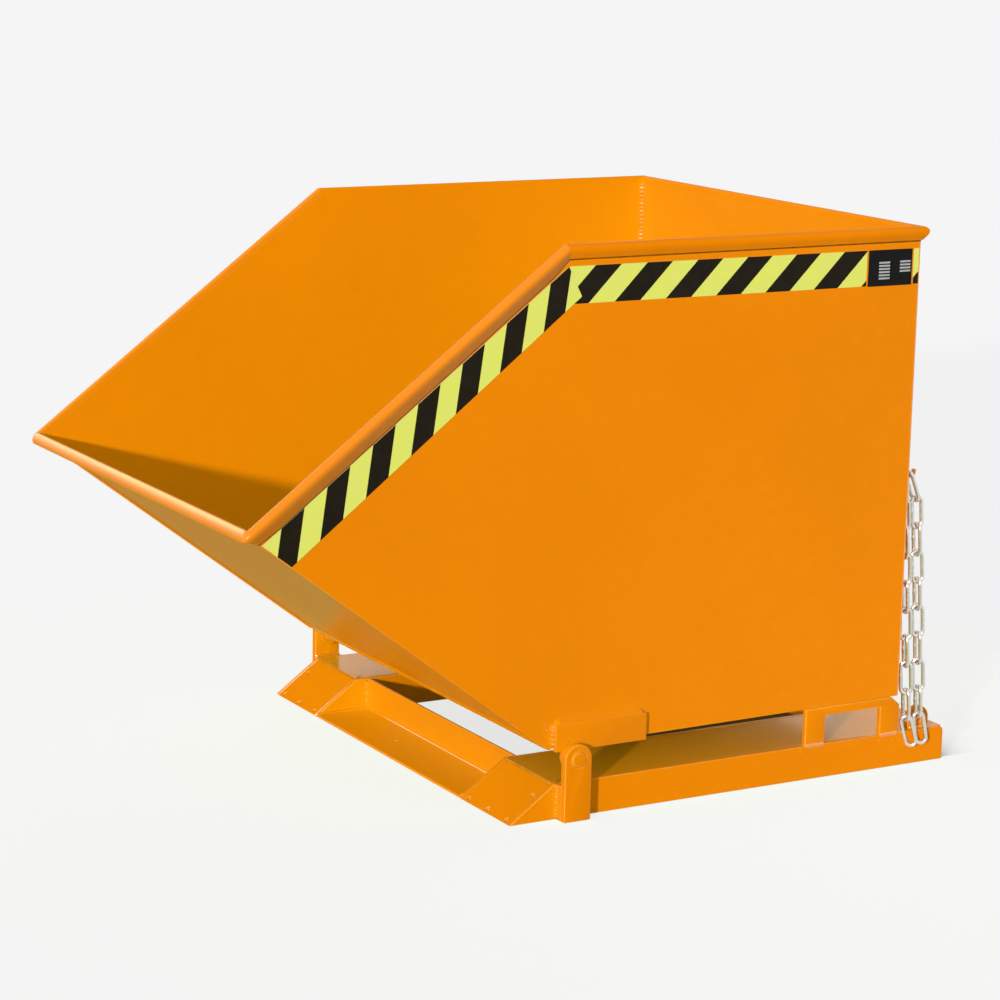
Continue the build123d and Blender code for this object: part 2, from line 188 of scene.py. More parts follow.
def painted_steel(
    name, spread=0.04, peel=0.0, buckle=0.0, dust=0.0, gloss=(0.16, 0.24), edge=0.6, shine=0.3,
    tint=(1.0, 0.60, 0.05), colour=orange,
):
    """Orange gloss paint on steel, with its drift, peel, dust, thin edges lightened partly as a painted
    highlight, and painted shade in gaps.
    """
    material, tree, shader = new_material(name)
    drift_value = use_group(tree, paint_drift, Spread=spread)
    toned = add_node(tree, "HueSaturation", {"Value": drift_value, "Color": (*colour, 1.0)}).outputs["Color"]
    # Edges lightened: thin paint, and partly a painted highlight
    edged = mixed(tree, use_group(tree, thin_coat_edge_highlight, Strength=edge), toned, thin_coat_highlight_orange)
    dust_share = use_group(tree, settled_dust, Amount=dust)
    dusty = mixed(tree, dust_share, edged, dust_colour)
    # Painted shade darkens the faces that carry a share of it
    gap_shaded = mixed(tree, use_group(tree, gap_painted_shade), dusty, painted_shade_colour)
    # Light thrown from plate to plate is kept pale, so that hollows turn brown and not red
    thrown = add_node(tree, "LightPath").outputs["Is Diffuse Ray"]
    sheen = speckle(tree, scale=7.0, detail=3.0, low=gloss[0], high=gloss[1])
    paint = {
        "Base Color": mixed(tree, thrown, gap_shaded, bounce_colour),
        "Roughness": sum_of(tree, "ADD", sheen, dust_share),
        "Specular IOR Level": shine,
        "Specular Tint": (*tint, 1.0),
        "Normal": bumped(tree, use_group(tree, sprayed_skin, Peel=peel, Buckle=buckle)),
    }
    set_inputs(tree, shader, paint)
    return material


def plate_mesh(*nodes, meeting=None):
    """The plates of the frame as one mesh of flat faces, without those where the plates meet."""
    bm = bmesh.new()
    for node in nodes:
        bm.from_mesh(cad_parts[node].data)
    bm.normal_update()
    if meeting:
        inside = [face for face in bm.faces if abs(face.normal.dot(meeting)) > math.cos(flat_angle)]
        bmesh.ops.delete(bm, geom=inside, context="FACES")
    bmesh.ops.remove_doubles(bm, verts=bm.verts, dist=same_point)
    bmesh.ops.dissolve_limit(bm, angle_limit=flat_angle, verts=bm.verts, edges=bm.edges)
    return bm


def round_edges(bm, edges, width, steps):
    """Rounds edges off and marks the new faces as edge faces."""
    mark = bm.faces.layers.float.get("edge") or bm.faces.layers.float.new("edge")
    rounded = bmesh.ops.bevel(
        bm, geom=edges, offset=width, segments=steps, profile=0.5, affect="EDGES", clamp_overlap=False
    )
    for face in rounded["faces"]:
        face[mark] = 1.0


def sharp_edges(bm):
    """Edges where two faces meet at more than a curve's small angle."""
    return [edge for edge in bm.edges if edge.is_manifold and edge.calc_face_angle() > curved_angle]


def shade(bm):
    """Curved and rounded faces shade smoothly, flat ones stay flat."""
    mark = bm.faces.layers.float.get("edge")
    for face in bm.faces:
        bends = [edge.calc_face_angle(0.0) for edge in face.edges]
        curved = any(flat_angle < bend < curved_angle for bend in bends)
        face.smooth = curved or bool(mark and face[mark])


def finished(name, bm, material, body, slot, *nodes):
    """A mesh made into a piece that rides on a body, has a finish and stands for nodes of the frame."""
    mesh = bpy.data.meshes.new(name)
    bm.to_mesh(mesh)
    bm.free()
    mesh.materials.append(material)
    piece = bpy.data.objects.new(name, mesh)
    bpy.context.scene.collection.objects.link(piece)
    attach(piece, body)
    if nodes:
        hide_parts(*nodes)
    return piece


def painted_plate(node, material, body, edge, steps=edge_steps):
    """A plate of the frame with its edges broken, painted."""
    bm = plate_mesh(node)
    round_edges(bm, sharp_edges(bm), edge, steps)
    shade(bm)
    return finished(node + ".painted", bm, material, body, "orange_paint", node)


bar_paint = painted_steel("bar paint", peel=0.003, buckle=0.05, dust=0.02, shine=0.15)
for name in sides:
    painted_plate("outer_rail_" + name, bar_paint, "base", rail_edge)
    painted_plate("inner_rail_" + name, bar_paint, "base", rail_edge)

# Pocket decks and ramps
# Each deck and its ramp are one strip of plate, bent along a line across the pocket's mouth and welded
# between two rails along its whole length. Drain holes are drilled in the ramp, and the strip is dusty.
plate_edge = 0.0008
bend_radius = 0.0025
bend_steps = 4
bend_angles = (math.radians(25), math.radians(50))
hole_face = 2e-5
# A yellower orange for the decks, a painted tone standing in for the warm hue of their shade and reflections
deck_shade_orange = (0.86, 0.29, 0.001)
ahead, back = Vector((-1, 0, 0)), Vector((1, 0, 0))
left, right = Vector((0, -1, 0)), Vector((0, 1, 0))
up = Vector((0, 0, 1))
# A bead is its leg on each plate, its bulge and the share of both that ripples
deck_bead = (0.0024, 0.0006, 0.3)
bead_step = 0.0025
fewest_steps = 4
bead_sides = 5
bead_root = 0.0006
bead_end = 0.1
bead_crease = math.radians(50)
ripple_steps = 3
ripple_swell = 0.5
sway_kept = 0.7
weld_index = 1.8
weld_hand = random.Random(11)


def skin(bm, rings, closed=False):
    """Smooth faces over a row of rings of points, with flat ends unless the row closes on itself."""
    rows = [[bm.verts.new(point) for point in ring] for ring in rings]
    following = rows[1:] + rows[:1] if closed else rows[1:]
    made = []
    for here, there in zip(rows, following):
        for number in range(len(here)):
            after = (number + 1) % len(here)
            made.append(bm.faces.new((here[number], here[after], there[after], there[number])))
    if not closed:
        made.extend(bm.faces.new(row) for row in (rows[0], rows[-1]))
    for face in made:
        face.smooth = True
    bmesh.ops.recalc_face_normals(bm, faces=made)
    return made


def lay_bead(bm, seam, bead, closed=False):
    """A weld bead along a seam: a rippled ridge with rounded ends, sunk a little into the plates.

    Each place of the seam comes with the two plates' directions away from it and its own outward one.
    """
    leg, bulge, ripple = bead
    rings = []
    last = len(seam) - 1
    sway = 0.0
    for number, (place, first, second, out) in enumerate(seam):
        sway = sway_kept * sway + (1.0 - sway_kept) * weld_hand.uniform(-1.0, 1.0)
        wave = ripple * (sway + (number % ripple_steps - 1) * ripple_swell)
        from_end = (min(number, last - number) + bead_end) * bead_step / leg
        size = 1.0 if closed else min(1.0, math.sqrt(from_end))
        reach = leg * size * (1.0 + wave / 2)
        rise = bulge * size * (1.0 + wave)
        ring = [place - out * bead_root]
        for step in range(bead_sides + 1):
            share = step / bead_sides
            chord = place + first * reach * (1.0 - share) + second * reach * share
            ring.append(chord + out * rise * math.sin(math.pi * share))
        rings.append(ring)
    made = skin(bm, rings, closed)
    for face in made:
        for edge in face.edges:
            edge.smooth = edge.calc_face_angle(0.0) < bead_crease
    return made


def weld(bm, start, end, first, second, bead, out=None):
    """A straight bead between two places, in the corner of two plates unless its outward way is given."""
    start, end = Vector(start), Vector(end)
    out = (first + second if out is None else out).normalized()
    count = max(fewest_steps, round((end - start).length / bead_step))
    seam = [(start.lerp(end, number / count), first, second, out) for number in range(count + 1)]
    return lay_bead(bm, seam, bead)


# Forks and wheels scuff the ramps, while the decks keep their gloss
deck_paint = painted_steel(
    "deck paint", buckle=0.05, dust=0.03, gloss=(0.15, 0.19), shine=0.40, colour=deck_shade_orange
)
ramp_paint = painted_steel("ramp paint", buckle=0.05, dust=0.03, gloss=(0.40, 0.50), shine=0.0)
weld_paint = painted_steel(
    "weld paint", spread=0.06, peel=0.02, gloss=(0.10, 0.16), shine=1.0, tint=(1.0, 0.95, 0.85)
)
weld_paint.node_tree.nodes["Principled BSDF"].inputs["IOR"].default_value = weld_index
deck_welds = bmesh.new()
for name in sides:
    deck_low, deck_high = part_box("pocket_deck_" + name)
    ramp_low, ramp_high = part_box("ramp_" + name)
    mitre = Vector((deck_high.z - deck_low.z, 0.0, ramp_high.x - deck_low.x)).normalized()
    strip_nodes = ("pocket_deck_" + name, "ramp_" + name)
    bm = plate_mesh(*strip_nodes, meeting=mitre)
    # The rounded bend is marked as edge faces, so its lighter paint is a painted highlight along the bend
    bends = [edge for edge in bm.edges if bend_angles[0] < edge.calc_face_angle(0.0) < bend_angles[1]]
    round_edges(bm, bends, bend_radius, bend_steps)
    round_edges(bm, sharp_edges(bm), plate_edge, edge_steps)
    mark = bm.faces.layers.float["edge"]
    for face in bm.faces:
        # Hole walls shade smoothly and take the lighter edge paint, a painted highlight in the holes
        if face.calc_area() < hole_face:
            face[mark] = 1.0
        face.smooth = bool(face[mark])
        face.material_index = 0 if abs(face.normal.z) > math.cos(flat_angle) else 1
    strip = finished("pocket_strip_" + name, bm, deck_paint, "base", "orange_paint", *strip_nodes)
    strip.data.materials.append(ramp_paint)
    for y in (deck_low.y, deck_high.y):
        toe = Vector((ramp_low.x, y, 0.0))
        bend = Vector((deck_low.x, y, deck_high.z))
        heel = Vector((deck_high.x - rail_edge, y, deck_high.z))
        ramp_out = Vector((toe.z - bend.z, 0.0, bend.x - toe.x))
        weld(deck_welds, toe, bend, left, right, deck_bead, ramp_out)
        weld(deck_welds, bend, heel, left, right, deck_bead, up)
    deck_top = deck_high.z
finished("deck_welds", deck_welds, weld_paint, "base", "orange_paint")

# Plates between the pockets
# A cross plate and a floor plate close the front between the two pockets, a second cross plate ties the rails
# behind, and straps under each pocket keep a fork from dropping through. All are cut plate, welded on.
# A brighter orange for the floor plate only, painted light standing in for the light a level plate lacks
brightened_orange = (0.98, 0.265, 0.001)
thin_bead = (0.003, 0.0008, 0.3)
inner_bead = (0.004, 0.001, 0.3)
proud_bead = (0.005, 0.002, 0.9)

tread_paint = painted_steel("tread paint", peel=0.003, buckle=0.05, shine=0.02, colour=brightened_orange)
painted_plate("front_floor_plate", tread_paint, "base", plate_edge)
for node in ("front_cross_plate", "rear_cross_plate"):
    painted_plate(node, bar_paint, "base", plate_edge)
for name in sides:
    painted_plate("pocket_straps_" + name, bar_paint, "base", plate_edge)

cross_low, cross_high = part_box("front_cross_plate")
tread_low, tread_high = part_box("front_floor_plate")
behind_low, behind_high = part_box("rear_cross_plate")
cross_welds = bmesh.new()
tread_ends = [(cross_low.x, y, tread_high.z) for y in (tread_low.y, tread_high.y)]
weld(cross_welds, *tread_ends, ahead, up, thin_bead)
for side in sides.values():
    rail_y = side * cross_high.y
    inward = left * side
    corner = (cross_low.x, rail_y, tread_high.z)
    weld(cross_welds, corner, (cross_low.x, rail_y, cross_high.z), ahead, inward, proud_bead)
    weld(cross_welds, (tread_low.x, rail_y, tread_high.z), corner, inward, up, thin_bead)
    for x, way in ((behind_low.x, ahead), (behind_high.x, back)):
        weld(cross_welds, (x, rail_y, 0.0), (x, rail_y, behind_high.z), way, inward, inner_bead)
finished("cross_welds", cross_welds, weld_paint, "base", "orange_paint")

# Hinge posts and pins
# A round-topped flat bar stands on a spacer beside each outer rail and carries the tipping pin, a short round
# bar with turned chamfers that is pressed into it, with a washer between post and hinge plate.
post_edge = 0.0014
post_steps = 3
pin_edge = 0.0005
post_bead = (0.003, 0.0012, 0.3)
spacer_bead = (0.003, 0.001, 0.3)

post_welds = bmesh.new()
for name, side in sides.items():
    painted_plate("hinge_post_" + name, bar_paint, "base", post_edge, post_steps)
    painted_plate("post_spacer_" + name, bar_paint, "base", plate_edge)
    painted_plate("pivot_pin_" + name, bar_paint, "base", pin_edge)
    painted_plate("hinge_washer_" + name, bar_paint, "base", pin_edge)
    spacer_low, spacer_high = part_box("post_spacer_" + name)
    rail_y, post_y = sorted((spacer_low.y, spacer_high.y), key=abs)
    outward = right * side
    top = spacer_high.z
    for x, way in ((spacer_low.x, ahead), (spacer_high.x, back)):
        weld(post_welds, (x, rail_y, 0.0), (x, rail_y, top), way, outward, proud_bead)
        weld(post_welds, (x, post_y, 0.0), (x, post_y, top), left, right, post_bead, way)
    weld(post_welds, (spacer_low.x, post_y, top), (spacer_high.x, post_y, top), -outward, up, spacer_bead)
finished("post_welds", post_welds, weld_paint, "base", "orange_paint")

# Rear seats and chain eyes
# Flame-cut plates on the rear of the base: the seats carry the lowered hopper and have a window cut in them,
# the eyes are round-topped lugs with a hole for the chain's shackle. The welder left beads and spatter.
seat_leg = 0.041
seat_bead = (0.0035, 0.0014, 0.5)
eye_bead = (0.0035, 0.001, 0.3)
seat_drops = 6
seat_drop_below = 0.006
seat_drop_spread = (0.03, 0.0, 0.007)
drop_sizes = (0.0006, 0.0013)
spatter_hand = random.Random(5)


def spatter(bm, centre, spread, count):
    """Small drops of metal thrown from the weld, scattered round a place."""
    for _ in range(count):
        drop = Vector([spatter_hand.uniform(-1.0, 1.0) * reach for reach in spread])
        size = spatter_hand.uniform(*drop_sizes)
        made = bmesh.ops.create_icosphere(
            bm, subdivisions=1, radius=size, matrix=Matrix.Translation(Vector(centre) + drop)
        )
        for vertex in made["verts"]:
            for face in vertex.link_faces:
                face.smooth = True


seat_welds = bmesh.new()
for name, side in sides.items():
    painted_plate("rear_seat_" + name, bar_paint, "base", post_edge, post_steps)
    painted_plate("chain_eye_" + name, bar_paint, "base", post_edge, post_steps)
    seat_low, seat_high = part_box("rear_seat_" + name)
    hidden_y, seen_y = sorted((seat_low.y, seat_high.y), key=abs)
    outward = right * side
    foot_z = seat_low.z
    for start, end in ((seat_low.x, seat_low.x + seat_leg), (seat_high.x - seat_leg, seat_high.x)):
        weld(seat_welds, (start, seen_y, foot_z), (end, seen_y, foot_z), up, -up, seat_bead, outward)
        middle = ((start + end) / 2, seen_y, foot_z - seat_drop_below)
        spatter(seat_welds, middle, seat_drop_spread, seat_drops)
        weld(seat_welds, (start, hidden_y, foot_z), (end, hidden_y, foot_z), -outward, up, inner_bead)
    eye_low, eye_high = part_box("chain_eye_" + name)
    for y, way in ((eye_low.y, left), (eye_high.y, right)):
        weld(seat_welds, (eye_low.x, y, deck_top), (eye_high.x, y, deck_top), way, up, eye_bead)
finished("seat_welds", seat_welds, weld_paint, "base", "orange_paint")

# Hopper sheets and hinge plates
# Floor, front plate, rear wall and two side walls of steel sheet, sheared to shape and welded at the corners
# inside and out, which leaves the large sheets slightly buckled. A thick hinge plate is welded on each side.
sheet_edge = 0.0006
wall_stand = 0.0042
# Share of painted shade on the beads at the nose's side seams, a painted shadow line
nose_shade = 0.6
lean = math.radians(37)
corner_bead = (0.0070, 0.0016, 0.5)
nose_bead = (0.0020, -0.0002, 0.15)
rear_bead = (0.0040, 0.0026, 0.15)
rear_bead_side = 0.4
foot_bead = (0.0080, 0.0065, 0.12)
bend_bead = (0.005, 0.0006, 0.3)
hinge_top_bead = (0.0088, 0.0002, 0.06)
hinge_end_bead = (0.0060, 0.0020, 0.9)
hinge_drops = 9
hinge_drop_above = 0.014
hinge_drop_spread = (0.05, 0.0, 0.008)
end_drops = 4
end_drop_place = Vector((-0.012, 0.0, -0.006))
end_drop_spread = (0.006, 0.0, 0.012)

rear_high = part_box("hopper_rear_wall")[1]
wall_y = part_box("hopper_side_right")[1].y
inner_y = rear_high.y
sheet = wall_y - inner_y
front_up = Vector((-math.cos(lean), 0.0, math.sin(lean)))
front_out = Vector((-math.sin(lean), 0.0, -math.cos(lean)))
slope_down = Vector((-math.cos(lean), 0.0, -math.sin(lean)))
foot, floor_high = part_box("hopper_floor")
sheet_paint = painted_steel("sheet paint", spread=0.035, buckle=0.1, gloss=(0.28, 0.33))
hinge_paint = painted_steel("hinge paint", spread=0.035, buckle=0.04, gloss=(0.28, 0.33), edge=0.1)
for node in ("floor", "front_plate", "rear_wall"):
    painted_plate("hopper_" + node, sheet_paint, "hopper", sheet_edge)
for name in sides:
    painted_plate("hinge_plate_" + name, hinge_paint, "hopper", post_edge, post_steps)
    # The side walls stand a little past the front plate
    bm = plate_mesh("hopper_side_" + name)
    for vertex in bm.verts:
        off = vertex.co - foot
        off.y = 0.0
        if abs(off.dot(front_out)) < 10 * same_point:
            way = ahead if off.length < sheet else slope_down
            vertex.co += way * (wall_stand / way.dot(front_out))
    round_edges(bm, sharp_edges(bm), sheet_edge, edge_steps)
    shade(bm)
    finished(f"hopper_side_{name}.painted", bm, sheet_paint, "hopper", "orange_paint", "hopper_side_" + name)

front_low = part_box("hopper_front_plate")[0]
front_run = front_up * ((front_low.x - foot.x) / front_up.x - sheet)
inside_foot = Vector((foot.x + sheet * math.tan(lean / 2), 0.0, foot.z + sheet))
inside_heel = Vector((rear_high.x - sheet, 0.0, floor_high.z))
inside_top = Vector((inside_heel.x, 0.0, rear_high.z))
foot_line = Vector((foot.x, 0.0, foot.z))
heel_line = Vector((rear_high.x, 0.0, floor_high.z - sheet))
rear_top = Vector((rear_high.x, 0.0, rear_high.z))
hopper_welds = bmesh.new()
painted_shade = hopper_welds.faces.layers.float.new("painted_shade")
for side in sides.values():
    inward = left * side
    inside = right * (side * inner_y)
    outside = right * (side * wall_y)
    weld(hopper_welds, inside_heel + inside, inside_top + inside, ahead, inward, corner_bead)
    weld(hopper_welds, inside_foot + inside, inside_heel + inside, inward, up, inner_bead)
    nose_top = inside_foot + front_run + inside
    weld(hopper_welds, inside_foot + inside, nose_top, inward, -front_out, inner_bead)
    nose_top = foot_line + front_run + inside
    # These beads carry painted shade, a painted shadow line along the seam
    for face in weld(hopper_welds, foot_line + inside, nose_top, inward, front_out, nose_bead):
        face[painted_shade] = nose_shade
    beside = ahead * rear_bead_side
    weld(hopper_welds, heel_line + outside, rear_top + outside, inward, beside, rear_bead, back - inward)
half = right * wall_y
inner_half = right * inner_y
weld(hopper_welds, foot_line - half, foot_line + half, back, front_up, foot_bead, -(back + front_up))
weld(hopper_welds, inside_foot - inner_half, inside_foot + inner_half, back, front_up, bend_bead)
weld(hopper_welds, inside_heel - inner_half, inside_heel + inner_half, ahead, up, inner_bead)
finished("hopper_welds", hopper_welds, weld_paint, "hopper", "orange_paint")

hinge_welds = bmesh.new()
hinge_fillets = bmesh.new()
for name, side in sides.items():
    hinge_low, hinge_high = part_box("hinge_plate_" + name)
    outward = right * side
    wall_line = side * wall_y
    corner = Vector((hinge_low.x, wall_line, hinge_high.z))
    weld(hinge_fillets, corner, (hinge_high.x, wall_line, hinge_high.z), up, outward, hinge_top_bead)
    weld(hinge_welds, (hinge_low.x, wall_line, foot.z + sheet), corner, ahead, outward, hinge_end_bead)
    spatter(hinge_welds, (0.0, wall_line, hinge_high.z + hinge_drop_above), hinge_drop_spread, hinge_drops)
    spatter(hinge_welds, corner + end_drop_place, end_drop_spread, end_drops)
finished("hinge_welds", hinge_welds, weld_paint, "hopper", "orange_paint")
finished("hinge_fillets", hinge_fillets, hinge_paint, "hopper", "orange_paint")

# Rolled rim
# Sheet rolled over along the whole upper edge, its tail turned down just outside the walls, the gap below it
# painted dark as a shadow. Its lengths are mitred at the knees and behind, and bent round at two corners into
# the fuller lip.
rim_radius = 0.007
rim_reach = 0.011
lip_reach = 0.0175
rim_inside = 0.0135
crown = 0.008
inner_round = 0.004
shoulder = 0.004
shoulder_end = 0.45
shoulder_steps = 4
rear_lift = 0.0034
knee_lift = 0.0018
slope_lift = 0.0015
rim_tail = 0.0236
slope_tails = (0.0288, 0.0325, 0.0295)
tail_blend = 0.045
lip_tail = 0.0235
lip_lift = Vector((-0.0015, 0.0, 0.0018))
tail_stand = 0.0030
tail_turn = 0.0020
gap_height = 0.0028
gap_depth = 0.0004
# Faces counted back from the section's end: the gap, painted as shadow, and below the roll, shares of painted
# shade
gap_face = 4
underside_shade_faces = {6: 1.0, 7: 1.0, 8: 0.7, 9: 0.3}
# Share of painted shade on the sloped rim's underside
slope_shade = 0.42
corner_radius = 0.004
corner_clear = 0.0006
corner_steps = 8
roll_steps = 10
crease_angle = math.radians(24)
slope_up = Vector((-math.sin(lean), 0.0, math.cos(lean)))
roll_turn = math.acos(slope_up.dot(front_up))


def rim_ring(top, out, rise, reach, tail, push=0.0):
    """The rim's section below a place on its top line over the wall, pushed outwards round a corner."""
    inner = -sheet - gap_depth / 4
    crest = inner + inner_round
    section = [(inner, -rim_inside)]
    for number in range(roll_steps):
        angle = math.pi - number / roll_steps * math.pi / 2
        section.append((crest + inner_round * math.cos(angle), -inner_round + inner_round * math.sin(angle)))
    for number in range(roll_steps + 1):
        angle = math.pi / 2 - number / roll_steps * math.pi / 2
        section.append((crest + (reach - crest) * math.cos(angle), -crown + crown * math.sin(angle)))
    end = Vector((push + tail_stand, -tail))
    bend = Vector((reach, -crown - shoulder))
    below = bend.lerp(end, shoulder_end)
    for number in range(1, shoulder_steps + 1):
        share = number / shoulder_steps
        section.append(Vector((reach, -crown)).lerp(bend, share).lerp(bend.lerp(below, share), share))
    section.append(end)
    section.append((end.x - tail_turn, -tail))
    section.append((push + gap_depth, -tail - gap_height))
    section.append((0.0, -tail - gap_height))
    section.append((0.0, -rim_inside))
    return [top + out * u + rise * w for u, w in section]


def cut_ring(ring, along, corner, normal):
    """A ring carried along its length to the mitre through a corner."""
    return [point + along * ((corner - point).dot(normal) / along.dot(normal)) for point in ring]


def mirrored(rings):
    """Rings on the other side of the hopper."""
    return [[Vector((point.x, -point.y, point.z)) for point in ring] for ring in rings]


def rim_piece(node, rings, paint, underside_shade=0.0):
    """One length of the rim over its rings, with a painted shadow in the gap and painted shade on its
    underside.
    """
    bm = bmesh.new()
    painted_shade = bm.faces.layers.float.new("painted_shade")
    made = skin(bm, rings)
    count = len(rings[0])
    shade_by_face = {count - face: underside_shade * share for face, share in underside_shade_faces.items()}
    shade_by_face[count - gap_face] = 1.0
    for number in range(count * (len(rings) - 1)):
        made[number][painted_shade] = shade_by_face.get(number % count, 0.0)
    for edge in bm.edges:
        edge.smooth = edge.calc_face_angle(0.0) < crease_angle
    return finished(node + ".rolled", bm, paint, "hopper", "orange_paint", node)


rim_paint = painted_steel("rim paint", gloss=(0.32, 0.40), shine=0.05)
slope_paint = painted_steel("slope paint", gloss=(0.32, 0.40), shine=0.5, tint=(1.0, 1.0, 0.6))
lip_paint = painted_steel("lip paint", gloss=(0.28, 0.34), shine=1.0, tint=(1.0, 1.0, 0.8))
top_low, top_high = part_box("rim_top_left")
slope_top = Vector((top_low.x, -wall_y, top_high.z)) + slope_up * slope_lift
knee = slope_top + slope_down * ((top_high.z + knee_lift - slope_top.z) / slope_down.z)
rear_corner = Vector((rear_high.x, -wall_y, top_high.z + rear_lift))
other_corner = Vector((rear_high.x, wall_y, top_high.z + rear_lift))
level_way = (knee - rear_corner).normalized()

level_ring = rim_ring(rear_corner, left, up, rim_reach, rim_tail)
level_rings = [
    cut_ring(level_ring, level_way, rear_corner, ahead - right),
    cut_ring(level_ring, level_way, knee, back - slope_down),
]
rear_ring = rim_ring(rear_corner, back, up, rim_reach, rim_tail)
rear_rings = [
    cut_ring(rear_ring, right, rear_corner, right - ahead),
    cut_ring(rear_ring, right, other_corner, left - ahead),
]
knee_ring = rim_ring(knee, left, slope_up, rim_reach, rim_tail)
slope_rings = [cut_ring(knee_ring, slope_down, knee, slope_down - back)]
slope_rings.append(rim_ring(knee + slope_down * tail_blend, left, slope_up, rim_reach, slope_tails[0]))

# The lip's own top line lies over the front plate's outer face
roll_line = Vector((top_low.x, 0.0, top_high.z)) - slope_up * rim_radius
roll_line += slope_down * ((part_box("rim_lip")[0].x + rim_radius - roll_line.x) / slope_down.x)
lip_top = roll_line - front_out * (rim_radius - sheet) + front_up * rim_radius + lip_lift
slope_foot = slope_top + slope_down * (lip_top - slope_top).dot(slope_down)
lip_shift = lip_top - slope_foot
lip_shift.y = 0.0
turn_centre = slope_foot - slope_down * corner_radius + right * corner_radius
narrowing = turn_centre + left * corner_radius - slope_down * tail_blend
slope_rings.append(rim_ring(narrowing, left, slope_up, rim_reach, slope_tails[1]))
turn_rings = []
for number in range(2 * corner_steps + 1):
    share = number / (2 * corner_steps)
    angle = share * math.pi / 2
    eased = share * share * (3 - 2 * share)
    bearing = slope_down * math.sin(angle) + left * math.cos(angle)
    turned = roll_turn * eased
    out = bearing * math.cos(turned) - slope_up * math.sin(turned)
    upward = slope_up * math.cos(turned) + bearing * math.sin(turned)
    square = 1.0 / max(math.cos(angle), math.sin(angle)) - 1.0
    push = corner_radius * square + corner_clear * math.sin(2 * angle)
    top = turn_centre + bearing * corner_radius + lip_shift * eased
    reach = rim_reach + (lip_reach - rim_reach) * eased
    tail = slope_tails[2] + (lip_tail - slope_tails[2]) * eased
    turn_rings.append(rim_ring(top, out, upward, reach, tail, push))
slope_rings += turn_rings[: corner_steps + 1]
lip_half = turn_rings[corner_steps:]

rim_piece("rim_top_left", level_rings, rim_paint)
rim_piece("rim_top_right", mirrored(level_rings), rim_paint)
rim_piece("rim_rear", rear_rings, rim_paint)
rim_piece("rim_slope_left", slope_rings, slope_paint, slope_shade)
rim_piece("rim_slope_right", mirrored(slope_rings), slope_paint, slope_shade)
rim_piece("rim_lip", lip_half + mirrored(lip_half)[::-1], lip_paint)

# Marking tape
# Striped vinyl tape, 60 mm wide, stuck on the side walls below the rim: one strip up the slope, cut square at
# the knee over the end of the level one, which stops on both sides of the rating plate.
stripe_pitch = 0.0685
tape_black = (0.010, 0.0065, 0.002)
tape_yellow = (0.76, 0.80, 0.125)
tape_cut = (0.62, 0.60, 0.42)
tape_thick = 0.0004
lapped_thick = 0.0007
tape_drop = 0.034
tape_width = 0.060
tape_inset = 0.0015
label_gap = 0.0035
# The cut ends of the slope's strip and of the level one, from the rim's corner at the knee
lap_end = ((0.03302, -0.0829), (0.00802, -0.0347))
level_start = ((0.01142, -0.0340), (-0.00188, -0.0440), (-0.00188, -0.0940))
# Directions across the stripes, and where a black one begins along them
diagonal = math.sqrt(0.5)
level_stripes_left = ((diagonal, -diagonal), -0.690)
slope_stripes_left = ((0.990, -0.139), -0.6816)
level_stripes_right = ((diagonal, diagonal), 0.012)
slope_stripes_right = ((0.139, 0.990), 0.009)
tape_shine = 0.1


def cut_between(points, way, low, high):
    """The part of a flat outline between two distances along a direction."""
    for limit, sense in ((low, 1.0), (high, -1.0)):
        kept = []
        for here, there in zip(points, points[1:] + points[:1]):
            before = sense * (here.dot(way) - limit)
            after = sense * (there.dot(way) - limit)
            if before >= 0.0:
                kept.append(here)
            if before * after < 0.0:
                kept.append(here.lerp(there, before / (before - after)))
        points = kept
    return points


def striped_tape(node, side, outlines, way, start, thick):
    """A strip of tape cut into its stripes, laid on one side wall; black stripes begin at the start."""
    bm = bmesh.new()
    stripe = bm.faces.layers.float.new("stripe")
    cut_side = bm.faces.layers.float.new("edge")
    way = Vector(way)
    for outline in outlines:
        points = [Vector(point) for point in outline]
        low, high = (limit(point.dot(way) for point in points) for limit in (min, max))
        number = math.floor(2 * (low - start) / stripe_pitch)
        while start + number * stripe_pitch / 2 < high:
            edge = start + number * stripe_pitch / 2
            piece = cut_between(points, way, edge, edge + stripe_pitch / 2)
            if len(piece) > 2:
                face = bm.faces.new([bm.verts.new((x, side * wall_y, z)) for x, z in piece])
                face[stripe] = (number + 1) % 2
            number += 1
    bmesh.ops.remove_doubles(bm, verts=bm.verts, dist=same_point)
    raised = bmesh.ops.extrude_face_region(bm, geom=list(bm.faces), use_keep_orig=True)["geom"]
    raised_verts = [item for item in raised if isinstance(item, bmesh.types.BMVert)]
    bmesh.ops.translate(bm, verts=raised_verts, vec=(0, side * thick, 0))
    bm.normal_update()
    for face in bm.faces:
        face[cut_side] = 1.0 if abs(face.normal.y) < 0.5 else 0.0
    bmesh.ops.recalc_face_normals(bm, faces=bm.faces)
    finished(node + ".striped", bm, tape_vinyl, "hopper", "marking_tape", node)


tape_vinyl, tree, shader = new_material("tape vinyl")
faded = mixed(tree, speckle(tree, scale=30.0, detail=3.0, high=0.12), tape_yellow, tape_cut)
inked = mixed(tree, speckle(tree, scale=60.0, detail=2.0, high=0.006), tape_black, tape_cut)
printed = mixed(tree, painted_mask(tree, "stripe"), faded, inked)
vinyl = {
    "Base Color": mixed(tree, painted_mask(tree, "edge"), printed, tape_cut),
    "Roughness": speckle(tree, scale=25.0, detail=2.0, low=0.30, high=0.42),
    "Specular IOR Level": tape_shine,
    "Normal": bumped(tree, speckle(tree, scale=55.0, detail=2.0, high=0.02)),
}
set_inputs(tree, shader, vinyl)

slope_line = slope_up.dot(Vector((top_low.x, 0.0, top_high.z)))
front_line = front_out.dot(foot_line) + wall_stand - tape_inset


